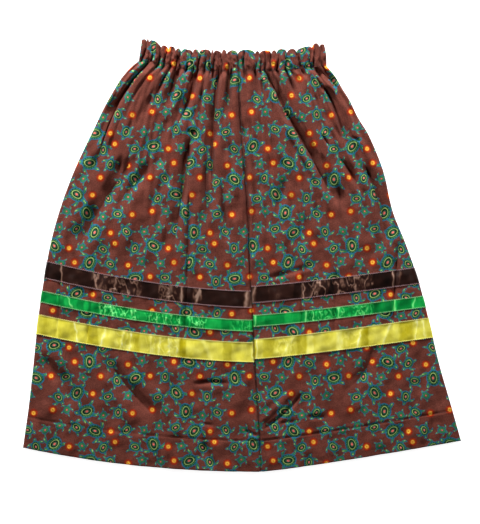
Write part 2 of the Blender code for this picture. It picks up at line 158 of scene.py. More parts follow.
# Folds of the front: three points of the line, width to its left and right, rise (a trough is negative), how
# sharp its bottom is, cloth hidden in it, how far its right lip leans over it, and the shares of its length
# over which it grows in and fades out
FOLD_COLUMNS = "start middle end left right rise sharp hidden lean grow fade".split()
FOLDS = named(
    FOLD_COLUMNS,
    (
        # Left part, from the side fold inwards
        ((-163, 372), (-230, 287), (-281, 158), 12, 5, -12.0, 0.5, 30, 5.0, 0.01, 0.5),
        ((-176, 350), (-238, 270), (-292, 150), 9, 9, 2.4, 0.0, 0, 0, 0.1, 0.4),
        ((-146, 352), (-208, 272), (-260, 142), 12, 20, 2.6, 0.0, 0, 0, 0.1, 0.4),
        ((-222, 322), (-251, 272), (-280, 215), 14, 12, -3.4, 0.0, 0, 0, 0.4, 0.5),
        ((-198, 348), (-247, 279), (-300, 165), 10, 9, 2.0, 0.0, 0, 0, 0.2, 0.4),
        ((-190, 204), (-250, 118), (-316, 8), 18, 13, -4.6, 0.1, 12, 0, 0.45, 0.2),
        ((-150, 190), (-206, 134), (-262, 62), 14, 11, -3.2, 0.1, 6, 0, 0.4, 0.5),
        ((-165, 290), (-203, 218), (-236, 165), 26, 26, 2.6, 0.0, 0, 0, 0.4, 0.4),
        ((-170, 130), (-222, 57), (-255, -20), 28, 30, 2.6, 0.0, 0, 0, 0.4, 0.4),
        # Waist and centre creases
        ((-124, 361), (-127, 321), (-135, 272), 10, 8, -8.5, 0.4, 14, 0, 0.02, 0.8),
        ((-87, 354), (-103, 287), (-137, 220), 11, 8, -8.2, 0.35, 14, 0, 0.02, 0.7),
        ((-44, 348), (-55, 209), (-53, 51), 11, 8, -8.6, 0.45, 22, 0, 0.02, 0.6),
        ((-21, 350), (-25, 298), (-27, 241), 9, 7, -7.2, 0.4, 10, 0, 0.02, 0.7),
        ((-96, 236), (-112, 124), (-135, -20), 12, 9, -7.4, 0.25, 16, 0, 0.25, 0.55),
        ((-99, 130), (-103, 28), (-104, -60), 6, 7, -4.6, 0.6, 5, 0, 0.2, 0.3),
        ((-106, 236), (-95, 232), (-82, 224), 5, 7, -2.2, 0.4, 0, 0, 0.4, 0.4),
        ((-38, 140), (-34, 76), (-20, 10), 7, 7, -4.2, 0.3, 5, 0, 0.4, 0.5),
        ((-70, 206), (-68, 114), (-65, 22), 7, 7, -5.0, 0.3, 6, 0, 0.3, 0.5),
        ((-70, 300), (-80, 180), (-84, 48), 9, 9, 2.6, 0.0, 0, 0, 0.3, 0.4),
        ((-11, 300), (-12, 180), (-11, 48), 9, 7, 2.2, 0.0, 0, 0, 0.3, 0.4),
        ((0, 262), (10, 114), (15, -57), 6, 6, -3.6, 0.5, 6, 0, 0.15, 0.5),
        # Right part, from the seam outwards
        ((44, 346), (70, 292), (98, 234), 6, 13, -12.0, 0.5, 22, -4.0, 0.05, 0.3),
        ((80, 266), (116, 208), (166, 120), 6, 15, -12.5, 0.5, 22, -5.0, 0.12, 0.5),
        ((142, 162), (170, 118), (206, 78), 10, 18, -3.6, 0.1, 6, 0, 0.4, 0.5),
        ((38, 320), (72, 218), (110, 118), 17, 15, 3.2, 0.0, 0, 0, 0.3, 0.4),
        ((92, 330), (133, 247), (170, 165), 14, 17, 3.6, 0.0, 0, 0, 0.3, 0.4),
        ((128, 374), (152, 343), (188, 312), 6, 12, -13.0, 0.5, 16, -4.0, 0.02, 0.3),
        ((156, 319), (180, 266), (201, 184), 5, 13, -6.4, 0.4, 14, 0, 0.1, 0.4),
        ((150, 230), (160, 213), (170, 196), 5, 6, -3.6, 0.5, 0, 0, 0.3, 0.4),
        ((180, 188), (209, 150), (234, 100), 8, 8, -4.2, 0.3, 6, 0, 0.3, 0.5),
        ((230, 172), (258, 104), (277, 2), 9, 13, -9.0, 0.4, 16, 0, 0.25, 0.4),
        ((186, 298), (209, 241), (222, 174), 7, 8, 2.2, 0.0, 0, 0, 0.3, 0.4),
        ((207, 226), (217, 218), (228, 216), 5, 6, -3.0, 0.5, 0, 0, 0.3, 0.4),
        ((82, 150), (74, 108), (66, 58), 12, 12, -2.6, 0.0, 0, 0, 0.4, 0.5),
        ((38, -46), (91, -34), (160, -13), 6, 9, -2.0, 0.2, 0, 0, 0.3, 0.4),
        # Round the ribbons
        ((-103, -10), (-106, -86), (-110, -175), 7, 9, -2.8, 0.6, 3, 0, 0.15, 0.2),
        ((297, 32), (291, -48), (285, -155), 7, 9, -3.0, 0.5, 3, 0, 0.2, 0.25),
        ((116, -25), (114, -86), (112, -174), 6, 8, -1.6, 0.5, 0, 0, 0.2, 0.2),
        ((179, -22), (177, -86), (175, -168), 6, 8, -1.4, 0.5, 0, 0, 0.2, 0.2),
        ((-342, -10), (-346, -86), (-353, -174), 6, 8, -1.8, 0.5, 0, 0, 0.2, 0.2),
        ((-276, -22), (-285, -86), (-296, -182), 6, 7, -1.6, 0.5, 0, 0, 0.2, 0.2),
        # Below the ribbons
        ((-390, -190), (-342, -238), (-310, -310), 19, 15, -3.6, 0.1, 0, 0, 0.3, 0.4),
        ((-258, -192), (-213, -256), (-146, -324), 17, 14, -3.6, 0.25, 4, 0, 0.3, 0.4),
        ((-101, -246), (-61, -241), (-15, -244), 8, 6, -2.7, 0.4, 0, 0, 0.35, 0.35),
        ((36, -333), (84, -296), (122, -252), 6, 5, -2.4, 0.5, 8, 0, 0.2, 0.35),
        ((25, -323), (68, -285), (108, -243), 9, 8, 1.6, 0.0, 0, 0, 0.25, 0.35),
        ((246, -166), (232, -222), (180, -266), 15, 13, -2.8, 0.2, 4, 0, 0.3, 0.4),
        ((118, -303), (142, -308), (169, -304), 6, 8, -1.7, 0.2, 0, 0, 0.4, 0.4),
        ((2, -332), (17, -338), (38, -344), 4, 5, -1.5, 0.5, 0, 0, 0.4, 0.4),
        ((-82, -323), (-66, -321), (-49, -327), 4, 5, -1.3, 0.5, 0, 0, 0.4, 0.4),
        ((65, -321), (84, -317), (106, -315), 4, 5, -1.3, 0.5, 0, 0, 0.4, 0.4),
        ((-72, -348), (-65, -380), (-53, -408), 9, 9, -2.0, 0.0, 0, 0, 0.3, 0.2),
    ),
)

# Folds of the back, pressed up from the surface that it lies on
BACK_FOLDS = named(
    FOLD_COLUMNS,
    (
        ((-150, 366), (-196, 262), (-236, 122), 8, 6, 3.0, 0.7, 20, 0, 0.02, 0.6),
        ((-92, 356), (-118, 262), (-128, 150), 7, 7, 2.6, 0.6, 16, 0, 0.02, 0.7),
        ((-40, 350), (-46, 240), (-40, 90), 6, 7, 2.6, 0.7, 16, 0, 0.02, 0.6),
        ((52, 350), (60, 250), (74, 118), 7, 6, 2.8, 0.6, 18, 0, 0.02, 0.6),
        ((104, 356), (140, 262), (170, 140), 8, 6, 3.0, 0.7, 20, 0, 0.02, 0.6),
        ((150, 340), (190, 250), (226, 110), 7, 6, 2.4, 0.5, 12, 0, 0.1, 0.6),
        ((-262, 190), (-290, 90), (-300, -30), 14, 12, 1.6, 0.3, 8, 0, 0.4, 0.5),
        ((-186, 90), (-205, 0), (-196, -90), 12, 10, 1.4, 0.3, 6, 0, 0.4, 0.5),
        ((126, 60), (150, -20), (152, -100), 10, 12, 1.4, 0.3, 6, 0, 0.4, 0.5),
        ((-60, 40), (-70, -40), (-66, -110), 8, 8, 1.2, 0.5, 4, 0, 0.4, 0.5),
        ((-250, -210), (-220, -260), (-160, -300), 16, 12, 1.5, 0.2, 0, 0, 0.4, 0.4),
        ((90, -230), (130, -280), (190, -310), 12, 14, 1.5, 0.3, 0, 0, 0.4, 0.4),
        ((240, -200), (262, -250), (310, -290), 14, 12, 1.3, 0.2, 0, 0, 0.4, 0.4),
    ),
)

# Shape of a fold: steps of its line, how much it widens on its way, half width of its sharp bottom, and the
# ridge beside a trough that is deeper than DEEP. The front's folds are as much deeper as FOLD_DEPTH says. A
# fold is left out beyond its margin, given in widths and millimetres
FOLD_MARGIN = (2.6, 12.0)
FOLD_SEGMENTS = 10
FOLD_SPREAD = 0.4
SLOT = 1.9
SHOULDER = 0.28
DEEP = -3.0
FOLD_DEPTH = 1.8
HIGHEST = 17.5

# Seam's groove, hem's stitch line, waves of the cloth (height, size, seed), and the drop to the side fold.
# Then the highest fold of the back, the least height of the front over it, and how far below the stitch line
# the panel still follows the casing
WAVE_COUNT = 12
SEAM_DEPTH = 8.0
SEAM_WIDTH = 1.8
HEM_GROOVE = 1.6
HEM_WAVE = 0.2
CLOTH_WAVES = ((0.7, 52.0, 3), (0.3, 19.0, 4))
SIDE_DROP = 0.3
SIDE_WIDTH = 9.0
BACK_HIGHEST = 0.9
FRONT_GAP = 1.7
LINE_BLEND = 9.0

# Gathers of the waist: how many on each half, their depth, the share of the drop that they run down, their
# width and the cloth hidden in each, then their depth, wander, sway and valley in the casing, and the least
# height of its front
GATHERS = {-1: 19, 1: 13}
GATHER_SEED = 11
GATHER_DEPTH = (2.6, 6.0)
GATHER_LENGTH = (0.03, 0.15)
GATHER_WIDTH = 5.5
GATHER_HIDDEN = 6.0
CASING_DEPTH = (6.5, 11.0)
CASING_WANDER = 3.0
CASING_SWAY = 1.6
CASING_VALLEY = ((0.45, 1.7), (0.55, 3.4))
CASING_GAP = 2.0

# Heading ruffle: share of the casing where it starts and that it takes up, height of its lobes above their
# base, how much lower the back's lies, and the rise, place and width of its corner
HEADING = (0.45, 0.55)
LOBE_HEIGHT = (6.0, 9.5)
LOBE_BASE = 6.0
BACK_HEADING = 7.0
CORNER = (7.0, 0.90, 0.08)

# Grid of each sheet
PANEL_COLUMNS = (238, 6, 52)
PANEL_ROWS = 322
CASING_COLUMNS = (320, 8, 110)
CASING_ROWS = 34
RIBBON_COLUMNS = (400, 12, 130)
RIBBON_ROWS = 14

# Turned edges: steps past the edge and in under it
TURN_STEPS = ((0.25, 0.25), (0.40, 0.70), (0.25, 1.15), (-1.5, 1.4), (-7.0, 1.5), (-14.0, 1.6))

# The print: a chart of one repeat. L, M and S are large, medium and small turtles, o is a sun
CHART = (
    "LoSMoM",
    "SMLoMS",
    "oSLSMo",
    "MLoMS.",
    "oMSoML",
    "SoLMoS",
)
REPEAT = 188.0
CHART_SEED = 5
CHART_JITTER = 6.0
MOTIF_KINDS = {"o": 1, "S": 2, "M": 3, "L": 4}
MOTIF_SIZE = {"o": 4.5, "S": 8.4, "M": 11.6, "L": 16.0}
MOTIF_REACH = {"o": 8.5, "S": 12.0, "M": 15.5, "L": 20.0}
SPREAD_ROUNDS = 60
NEAR_MOTIFS = 7

# Camera: the frame is 480 x 524 pixels of 1.9 mm, and its centre lies here. The lights are soft squares
FRAME_HEIGHT = 524 * 1.9
FRAME_CENTRE = (-3.8, -13.3)
LENS = 100.0
SENSOR = 36.0
LIGHT_SIZE = 0.6


def smooth_column(table, names, column, share):
    """Read a table's column at a share, on a curve that never swings past the table's own values."""
    shares = np.array([row[0] for row in table], float)
    values = np.array([row[names.index(column)] for row in table], float)
    secants = np.diff(values) / np.diff(shares)
    slopes = np.concatenate([secants[:1], np.zeros(len(values) - 2), secants[-1:]])
    before, after = secants[:-1], secants[1:]
    same_way = before * after > 0
    slopes[1:-1][same_way] = 2.0 * before[same_way] * after[same_way] / (before + after)[same_way]
    share = np.asarray(share, float)
    i = np.clip(np.searchsorted(shares, share, side="right") - 1, 0, len(shares) - 2)
    step = shares[i + 1] - shares[i]
    t = (share - shares[i]) / step
    return (
        values[i] * (1 + 2 * t) * (1 - t) ** 2
        + slopes[i] * step * t * (1 - t) ** 2
        + values[i + 1] * t * t * (3 - 2 * t)
        + slopes[i + 1] * step * t * t * (t - 1)
    )


def ease(t):
    """Smooth rise from 0 to 1 while t goes from 0 to 1."""
    t = np.clip(t, 0.0, 1.0)
    return t * t * (3.0 - 2.0 * t)


def bell(x, width):
    """1 at x = 0, falling smoothly to 0 within about twice the width."""
    return np.exp(-((x / width) ** 2))


def waves(x, y, size, seed):
    """Soft uneven field of about -2 to 2, from seeded waves of about one size."""
    rng = np.random.default_rng(seed)
    total = np.zeros(np.broadcast(x, y).shape)
    for _ in range(WAVE_COUNT):
        angle = rng.uniform(0.0, 2.0 * math.pi)
        length = size * rng.uniform(0.7, 1.6)
        phase = rng.uniform(0.0, 2.0 * math.pi)
        total += np.cos(2.0 * math.pi * (x * math.cos(angle) + y * math.sin(angle)) / length + phase)
    return total * math.sqrt(2.0 / WAVE_COUNT)


def plan(side, share, reach, table=OUTLINE):
    """Laid x and y at a share and a reach."""
    edge = EDGES[side]

    def column(name):
        return smooth_column(table, OUTLINE_COLUMNS, name, share)

    x = column("seam_x") + (column(edge + "_x") - column("seam_x")) * reach
    y = column("seam_y") + (column(edge + "_y") - column("seam_y")) * reach ** column(edge + "_bow")
    return x, y


def half_width(side, share, table=OUTLINE):
    """Distance from the seam to the side fold."""
    edge = EDGES[side]
    seam = smooth_column(table, OUTLINE_COLUMNS, "seam_x", share)
    return np.abs(smooth_column(table, OUTLINE_COLUMNS, edge + "_x", share) - seam)


def gather_rng(use, side, back):
    """Seeded random numbers for one use of one half's gathers."""
    return np.random.default_rng(GATHER_SEED + use + side + 4 * back)


def gather_places(side, back):
    """Reach of each gather's valley from the seam to the side fold, as uneven as hand-spread gathers."""
    rng = gather_rng(0, side, back)
    steps = rng.uniform(0.5, 1.5, GATHERS[side])
    return np.concatenate([[0.0], np.cumsum(steps) / steps.sum()])


def gather_folds(side, back):
    """Short folds that run down from the waist, one at each gather."""
    rng = gather_rng(20, side, back)
    folds = []
    for reach in gather_places(side, back)[1:-1]:
        length = GATHER_LENGTH[0] + (GATHER_LENGTH[1] - GATHER_LENGTH[0]) * rng.random() ** 2
        line = [
            tuple(float(value) for value in plan(side, np.array(length * t), np.array(reach)))
            for t in (-0.02, 0.5, 1.0)
        ]
        depth = rng.uniform(*GATHER_DEPTH)
        widths = GATHER_WIDTH * rng.uniform(0.7, 1.3, 2)
        rise = 0.5 * depth if back else -depth
        folds.append((*line, *widths, rise, 0.35, GATHER_HIDDEN, 0.0, 0.01, 0.9))
    return named(FOLD_COLUMNS, folds)


def fold_line(fold, t):
    """Points at t of a fold's line, a curve through its three points."""
    start, middle, end = (np.array(fold[key], float) for key in ("start", "middle", "end"))
    bend = 2.0 * middle - 0.5 * (start + end)
    t = np.asarray(t, float)[..., None]
    return (1 - t) ** 2 * start + 2 * t * (1 - t) * bend + t * t * end


def fold_shape(fold, x, y):
    """Rise and sideways slide of one fold at laid positions x and y."""
    line = fold_line(fold, np.linspace(0.0, 1.0, FOLD_SEGMENTS + 1))
    nearest = np.full_like(x, np.inf)
    across, along, normal_x, normal_y = (np.zeros_like(x) for _ in range(4))
    for k in range(FOLD_SEGMENTS):
        a = line[k]
        step = line[k + 1] - a
        length = math.hypot(*step)
        reach = np.clip(((x - a[0]) * step[0] + (y - a[1]) * step[1]) / length**2, 0, 1)
        distance = np.hypot(x - a[0] - reach * step[0], y - a[1] - reach * step[1])
        closer = distance < nearest
        nearest = np.where(closer, distance, nearest)
        right_of_line = np.sign((x - a[0]) * -step[1] + (y - a[1]) * step[0])
        across = np.where(closer, distance * right_of_line, across)
        along = np.where(closer, (k + reach) / FOLD_SEGMENTS, along)
        normal_x = np.where(closer, -step[1] / length, normal_x)
        normal_y = np.where(closer, step[0] / length, normal_y)
    taper = ease(along / max(fold["grow"], 1e-3)) * ease((1.0 - along) / fold["fade"])
    width = np.where(across < 0, fold["left"], fold["right"]) * (1.0 + FOLD_SPREAD * along)
    q = np.abs(across) / width
    broad = (1.0 - np.clip(q, 0.0, 1.0) ** 2) ** 2
    slot = bell(across, SLOT)
    profile = (1.0 - fold["sharp"]) * broad + fold["sharp"] * slot
    if fold["rise"] < DEEP:
        profile = profile - SHOULDER * bell(q - 1.5, 0.55)
    lean = 0.0
    if fold["lean"]:
        lip = 0.5 * fold["lean"]
        lean = fold["lean"] * taper * bell(across - lip, lip)
    return fold["rise"] * profile * taper, -lean * normal_x, -lean * normal_y


def fold_effects(x, y, folds):
    """Rise and sideways slide that folds give at laid positions x and y."""
    total = np.zeros((3, *x.shape))
    for fold in folds:
        line = fold_line(fold, np.linspace(0.0, 1.0, 5))
        margin = FOLD_MARGIN[0] * max(fold["left"], fold["right"]) + FOLD_MARGIN[1]
        low, high = line.min(axis=0) - margin, line.max(axis=0) + margin
        near = (x > low[0]) & (x < high[0]) & (y > low[1]) & (y < high[1])
        if near.any():
            total[:, near] += np.stack(fold_shape(fold, x[near], y[near]))
    return total


def fold_jumps(side, x, y, folds):
    """The cloth that each fold hides at the height of places x and y, and whether they lie beyond it."""
    hidden, beyond = [], []
    for fold in folds:
        if not fold["hidden"]:
            continue
        t = np.linspace(0.0, 1.0, 21)
        line = fold_line(fold, t)
        down = np.maximum.accumulate(-line[:, 1])
        along = np.interp(-y, down, t)
        taper = ease((1.0 - along) / fold["fade"])
        if fold["grow"] > 0.05:
            taper = taper * ease(along / fold["grow"])
        hidden.append(fold["hidden"] * taper)
        beyond.append(side * (x - np.interp(-y, down, line[:, 0])) > 0.0)
    return np.array(hidden).T, np.array(beyond).T


def soft_floor(z, lowest, softness=0.6):
    """Keep z above lowest, without a hard edge."""
    d = z - lowest
    return lowest + 0.5 * (d + np.sqrt(d * d + softness * softness))


def casing_valleys(side, back, share):
    """Reach and depth of each gather's valley across the casing, which change on its way up."""
    rng = gather_rng(40, side, back)
    width = half_width(side, share, CASING_OUTLINE)
    valleys = []
    for place in gather_places(side, back):
        depth = rng.uniform(*CASING_DEPTH)
        turn, bend, fade = rng.uniform(0.0, 2.0 * math.pi, 3)
        sway = CASING_SWAY * np.sin(5.0 * share + bend) - CASING_SWAY * math.sin(bend)
        sway = CASING_WANDER * share * math.cos(turn) + sway
        inside = 0.0 if place in (0.0, 1.0) else 1.0
        depth = depth * (0.75 + 0.25 * np.sin(4.0 * share + fade))
        valleys.append((place + inside * side * sway / width, depth))
    return valleys


def casing_relief(side, back, reach, share):
    """Height of the casing's gathers above and below its loft."""
    width = half_width(side, share, CASING_OUTLINE)
    relief = 0.5 * waves(reach * 300.0, share * 30.0, 11.0, 47 + side)
    for place, depth in casing_valleys(side, back, share):
        distance = (reach - place) * width
        valley = sum(part * bell(distance, width_part) for part, width_part in CASING_VALLEY)
        relief = relief - depth * valley
    return relief


def casing_lobes(side, back, reach, share):
    """How far each rounded lobe of the heading ruffle stands out between its two valleys."""
    rng = gather_rng(60, side, back)
    lobes = np.zeros_like(reach)
    valleys = casing_valleys(side, back, share)
    last = len(valleys) - 1
    # Every third valley ends below the heading, so that two lobes join there
    places = [place for count, (place, _) in enumerate(valleys) if count % 3 != 1 or count == last]
    for near, far in zip(places, places[1:]):
        height = rng.uniform(*LOBE_HEIGHT)
        middle = (reach - near) / np.maximum(far - near, 1e-3)
        round_top = np.sqrt(np.clip(4.0 * middle * (1.0 - middle), 0.0, 1.0))
        lobes = np.maximum(lobes, height * round_top)
    return lobes - LOBE_BASE


def ribbon_foot(ribbon, edge, reach):
    """Height of a ribbon's lower edge above the hem at a reach."""
    seam, side = ribbon[edge + "_seam"], ribbon[edge + "_side"]
    return seam + (side - seam) * reach


def band_lift(side, share, reach):
    """How far the underside is lifted over the ribbons."""
    edge = EDGES[side]
    upper = ribbon_foot(RIBBONS[0], edge, reach) + RIBBONS[0]["width"]
    lower = ribbon_foot(RIBBONS[-1], edge, reach)
    height = (1.0 - share) * drop_at(side, reach)
    below = ease((upper + BAND_STEP - height) / BAND_STEP)
    above = ease((height - lower + BAND_STEP) / BAND_STEP)
    return BAND_LIFT * (below * above)


def drop_at(side, reach):
    """Cloth length from the stitch line to the hem at a reach."""
    edge = EDGES[side]
    return CLOTH_DROP["seam"] + (CLOTH_DROP[edge] - CLOTH_DROP["seam"]) * reach


class Half:
    """One half of the skirt, left or right, with its front and back folds."""

    def __init__(self, side, edge):
        self.side = side
        self.edge = edge
        self.folds = {False: FOLDS + gather_folds(side, False), True: BACK_FOLDS + gather_folds(side, True)}

    def casing_layer(self, back, share, reach):
        """Laid x, y and height of one layer of the casing."""
        x, y = plan(self.side, share, reach, CASING_OUTLINE)
        relief = casing_relief(self.side, back, reach, share)
        heading = ease((share - HEADING[0]) / HEADING[1])
        y = y + heading * casing_lobes(self.side, back, reach, share)
        rise, place, width = CORNER
        y = y + rise * heading * bell(reach - place, width)
        if back:
            inside = ease((1.0 - reach) * half_width(self.side, share, CASING_OUTLINE) / 16.0)
            y = y - BACK_HEADING * heading * inside
            z = soft_floor(0.9 + 0.2 * relief, 0.0, 0.3)
        else:
            loft = smooth_column(CASING_LOFT, LOFT_COLUMNS, "height", share)
            pucker = 0.5 + 0.8 * waves(x, 0.0 * x, 16.0, 67)
            stitch = pucker * bell(share * CASING_HEIGHT, 2.6)
            taper = self.edge_taper(share, reach, CASING_OUTLINE)
            z = soft_floor(taper * (loft + relief) - stitch, CASING_GAP)
        return x, y, z

    def edge_taper(self, share, reach, table=OUTLINE):
        """The front lies lower near the side fold."""
        width = half_width(self.side, share, table)
        return 1.0 - SIDE_DROP * bell((1.0 - reach) * width - SIDE_RADIUS, SIDE_WIDTH)

    def panel_layer(self, back, share, reach):
        """Laid x, y and height of one layer of the panel."""
        x, y = plan(self.side, share, reach)
        rise, slide_x, slide_y = fold_effects(x, y, self.folds[back])
        rise = rise if back else FOLD_DEPTH * rise
        seam_x = smooth_column(OUTLINE, OUTLINE_COLUMNS, "seam_x", share)
        lift = band_lift(self.side, share, reach)
        if back:
            z = lift + np.minimum(soft_floor(rise, 0.0, 0.2), BACK_HIGHEST)
        else:
            seam = SEAM_DEPTH * bell(x - seam_x, SEAM_WIDTH)
            above_hem = (1.0 - share) * drop_at(self.side, reach)
            hem_line = np.exp(-((above_hem - HEM_DEPTH) ** 2) / 1.6)
            hem_line = (HEM_GROOVE + HEM_WAVE * waves(x, 0.0 * x, 24.0, 68)) * hem_line
            cloth = sum(height * waves(x, y, size, seed) for height, size, seed in CLOTH_WAVES)
            streaks = (1.1 - ease((share - 0.25) / 0.4)) * waves(reach * 330.0, y * 0.16, 15.0, 5)
            z = smooth_column(LOFT, LOFT_COLUMNS, "height", share)
            z = z + rise + cloth + streaks - seam - hem_line
            z = soft_floor(self.edge_taper(share, reach) * z, lift + FRONT_GAP)
            z = -soft_floor(-z, -HIGHEST, 1.5)
        near_line = bell(share * drop_at(self.side, reach), LINE_BLEND)
        line_z = self.casing_layer(back, np.zeros_like(share), reach)[2]
        z = z + near_line * (line_z - z)
        return x + slide_x, y + slide_y, z

    def skin(self, turn, share, casing=False):
        """Points, outward directions and flat places; turn runs 0 seam, 1 and 2 side fold, 3 back seam."""
        layer = self.casing_layer if casing else self.panel_layer
        table = CASING_OUTLINE if casing else OUTLINE
        turn, share = np.broadcast_arrays(np.asarray(turn, float), np.asarray(share, float))
        edge_reach = 1.0 - SIDE_RADIUS / half_width(self.side, share, table)
        point = np.zeros((*turn.shape, 3))
        away = np.zeros_like(point)
        flat = np.zeros((*turn.shape, 2))
        front, back = turn <= 1.0, turn >= 2.0
        middle = ~(front | back)
        for chosen, is_back in ((front, False), (back, True)):
            if not chosen.any():
                continue
            way = turn[chosen] if not is_back else 3.0 - turn[chosen]
            point[chosen] = np.stack(layer(is_back, share[chosen], edge_reach[chosen] * way), axis=-1)
            flat[chosen] = point[chosen][..., :2]
            away[chosen] = (0.0, 0.0, -1.0 if is_back else 1.0)
        if middle.any():
            s, reach = share[middle], edge_reach[middle]
            x, y, high = layer(False, s, reach)
            low = layer(True, s, reach)[2]
            angle = np.pi * (0.5 - (turn[middle] - 1.0))
            half = 0.5 * (high - low)
            bulge_x = self.side * SIDE_RADIUS * np.cos(angle)
            point[middle] = np.stack([x + bulge_x, y, low + half + half * np.sin(angle)], axis=-1)
            around = (turn[middle] - 1.0) * math.pi * 0.5 * (SIDE_RADIUS + half)
            flat[middle] = np.stack([x + self.side * around, y], axis=-1)
            away[middle] = np.stack([self.side * np.cos(angle), 0.0 * angle, np.sin(angle)], axis=-1)
        return point, away, flat


def turn_reach(turn):
    """Reach of a turn value, the same on the front and the back."""
    return np.where(turn <= 1.0, turn, np.where(turn >= 2.0, 3.0 - turn, 1.0))


def turns(counts):
    """Turn values of a sheet's columns: so many over the front, round the side fold and along the back."""
    front, side, back = counts
    return np.concatenate(
        [
            np.linspace(0.0, 1.0, front, endpoint=False),
            np.linspace(1.0, 2.0, side, endpoint=False),
            np.linspace(2.0, 3.0, back + 1),
        ]
    )


def chart_motifs():
    """Place, turn, size, reach and kind of each motif in a repeat: the chart's, pushed apart."""
    rng = np.random.default_rng(CHART_SEED)
    cell = REPEAT / len(CHART)
    letters, places = [], []
    for row, line in enumerate(CHART):
        for column, letter in enumerate(line):
            shift = rng.uniform(-CHART_JITTER, CHART_JITTER, 2)
            if letter in MOTIF_KINDS:
                letters.append(letter)
                across = (column + 0.5 * (row % 2) + 0.5) * cell
                places.append((across + shift[0], (row + 0.5) * cell + shift[1]))
    places = np.array(places)
    reach = np.array([MOTIF_REACH[letter] for letter in letters])
    for _ in range(SPREAD_ROUNDS):
        apart = places[:, None] - places[None]
        apart -= REPEAT * np.round(apart / REPEAT)
        distance = np.hypot(apart[..., 0], apart[..., 1]) + 1e-6
        overlap = np.clip(reach[:, None] + reach[None] - distance, 0.0, None)
        np.fill_diagonal(overlap, 0.0)
        places += 0.25 * (apart / distance[..., None] * overlap[..., None]).sum(axis=1)
    angles = rng.uniform(0.0, 2.0 * math.pi, len(letters))
    sizes = [MOTIF_SIZE[letter] for letter in letters]
    kinds = [MOTIF_KINDS[letter] for letter in letters]
    return np.column_stack([places, angles, sizes, reach, kinds])


def quad_corners(grid, flip=False):
    """Values of a grid at the four corners of each of its quads."""
    corners = np.stack([grid[:-1, :-1], grid[1:, :-1], grid[1:, 1:], grid[:-1, 1:]], axis=2)
    corners = corners.reshape(-1, 4, *grid.shape[2:])
    return corners[:, ::-1] if flip else corners


def motif_layers(half, flat, back):
    """For each face of a grid, its corners in the nearest motif's own coordinates, and that motif's kind.

    A motif lies flat and whole on the laid cloth. Where a fold passes between it and a face, it seems as
    much further away as the fold hides, so folds cut the motifs that they run through.
    """
    corners = quad_corners(flat)
    centre = corners.mean(axis=1)
    chart = chart_motifs()
    low = np.floor(centre.min(axis=0) / REPEAT).astype(int) - 1
    high = np.ceil(centre.max(axis=0) / REPEAT).astype(int) + 1
    copies = [(i * REPEAT, j * REPEAT) for i in range(low[0], high[0]) for j in range(low[1], high[1])]
    rng = np.random.default_rng(CHART_SEED + 10 + half.side + 4 * back)
    turned = rng.uniform(0.0, 2.0 * math.pi, len(copies))
    motifs = np.concatenate([chart + (*copy, turn, 0.0, 0.0, 0.0) for copy, turn in zip(copies, turned)])
    apart = np.hypot(*(centre[:, None, k] - motifs[None, :, k] for k in (0, 1))) - motifs[:, 4]
    candidates = np.argpartition(apart, NEAR_MOTIFS, axis=1)[:, :NEAR_MOTIFS]
    folds = half.folds[back]
    hidden, beyond = fold_jumps(half.side, centre[:, 0], centre[:, 1], folds)
    motif_beyond = fold_jumps(half.side, motifs[:, 0], motifs[:, 1], folds)[1]
    best = np.zeros(len(centre), int)
    shift = np.zeros(len(centre))
    nearest = np.full(len(centre), np.inf)
    for candidate in candidates.T:
        crossed = beyond.astype(float) - motif_beyond[candidate]
        moved = half.side * (hidden * crossed).sum(axis=1)
        off = centre - motifs[candidate, :2]
        distance = np.hypot(off[:, 0] + moved, off[:, 1]) - motifs[candidate, 4]
        closer = distance < nearest
        nearest[closer] = distance[closer]
        best[closer] = candidate[closer]
        shift[closer] = moved[closer]
    chosen = motifs[best]
    local = corners - chosen[:, None, :2]
    local[..., 0] += shift[:, None]
    cos, sin = np.cos(chosen[:, 2])[:, None], np.sin(chosen[:, 2])[:, None]
    x = (local[..., 0] * cos + local[..., 1] * sin) / chosen[:, 3][:, None]
    y = (-local[..., 0] * sin + local[..., 1] * cos) / chosen[:, 3][:, None]
    return np.stack([x, y], axis=-1), chosen[:, 5]


def add_object(name, data):
    """Put a new object with this data in the scene."""
    item = bpy.data.objects.new(name, data)
    bpy.context.scene.collection.objects.link(item)
    return item


def add_mesh(name, points, faces, material):
    """Make a smooth-shaded mesh object from millimetre points."""
    mesh = bpy.data.meshes.new(name)
    mesh.from_pydata((points * MM).tolist(), [], faces.tolist())
    mesh.shade_smooth()
    mesh.materials.append(material)
    return add_object(name, mesh)


def set_uv(piece, name, corners):
    """Write one UV layer from an array of (faces, corners, 2)."""
    layer = piece.data.uv_layers.new(name=name)
    layer.uv.foreach_set("vector", corners.astype(np.float32).ravel())


def set_values(piece, label, domain, values):
    """Write one number for each point or face of a piece."""
    attribute = piece.data.attributes.new(label, "FLOAT", domain)
    attribute.data.foreach_set("value", values.astype(np.float32).ravel())


def add_sheet(name, points, flat, side, material):
    """Add one open sheet with its flat coordinates and its bake coordinates."""
    rows, columns = points.shape[:2]
    flip = side < 0
    faces = quad_corners(np.arange(rows * columns).reshape(rows, columns), flip)
    piece = add_mesh(name, points.reshape(-1, 3), faces, material)
    set_uv(piece, "cloth", quad_corners(flat * MM, flip))
    down, over = np.meshgrid(np.linspace(0.0, 1.0, rows), np.linspace(0.0, 1.0, columns), indexing="ij")
    set_uv(piece, "OFBake", quad_corners(np.stack([over, down], axis=-1), flip))
    return piece


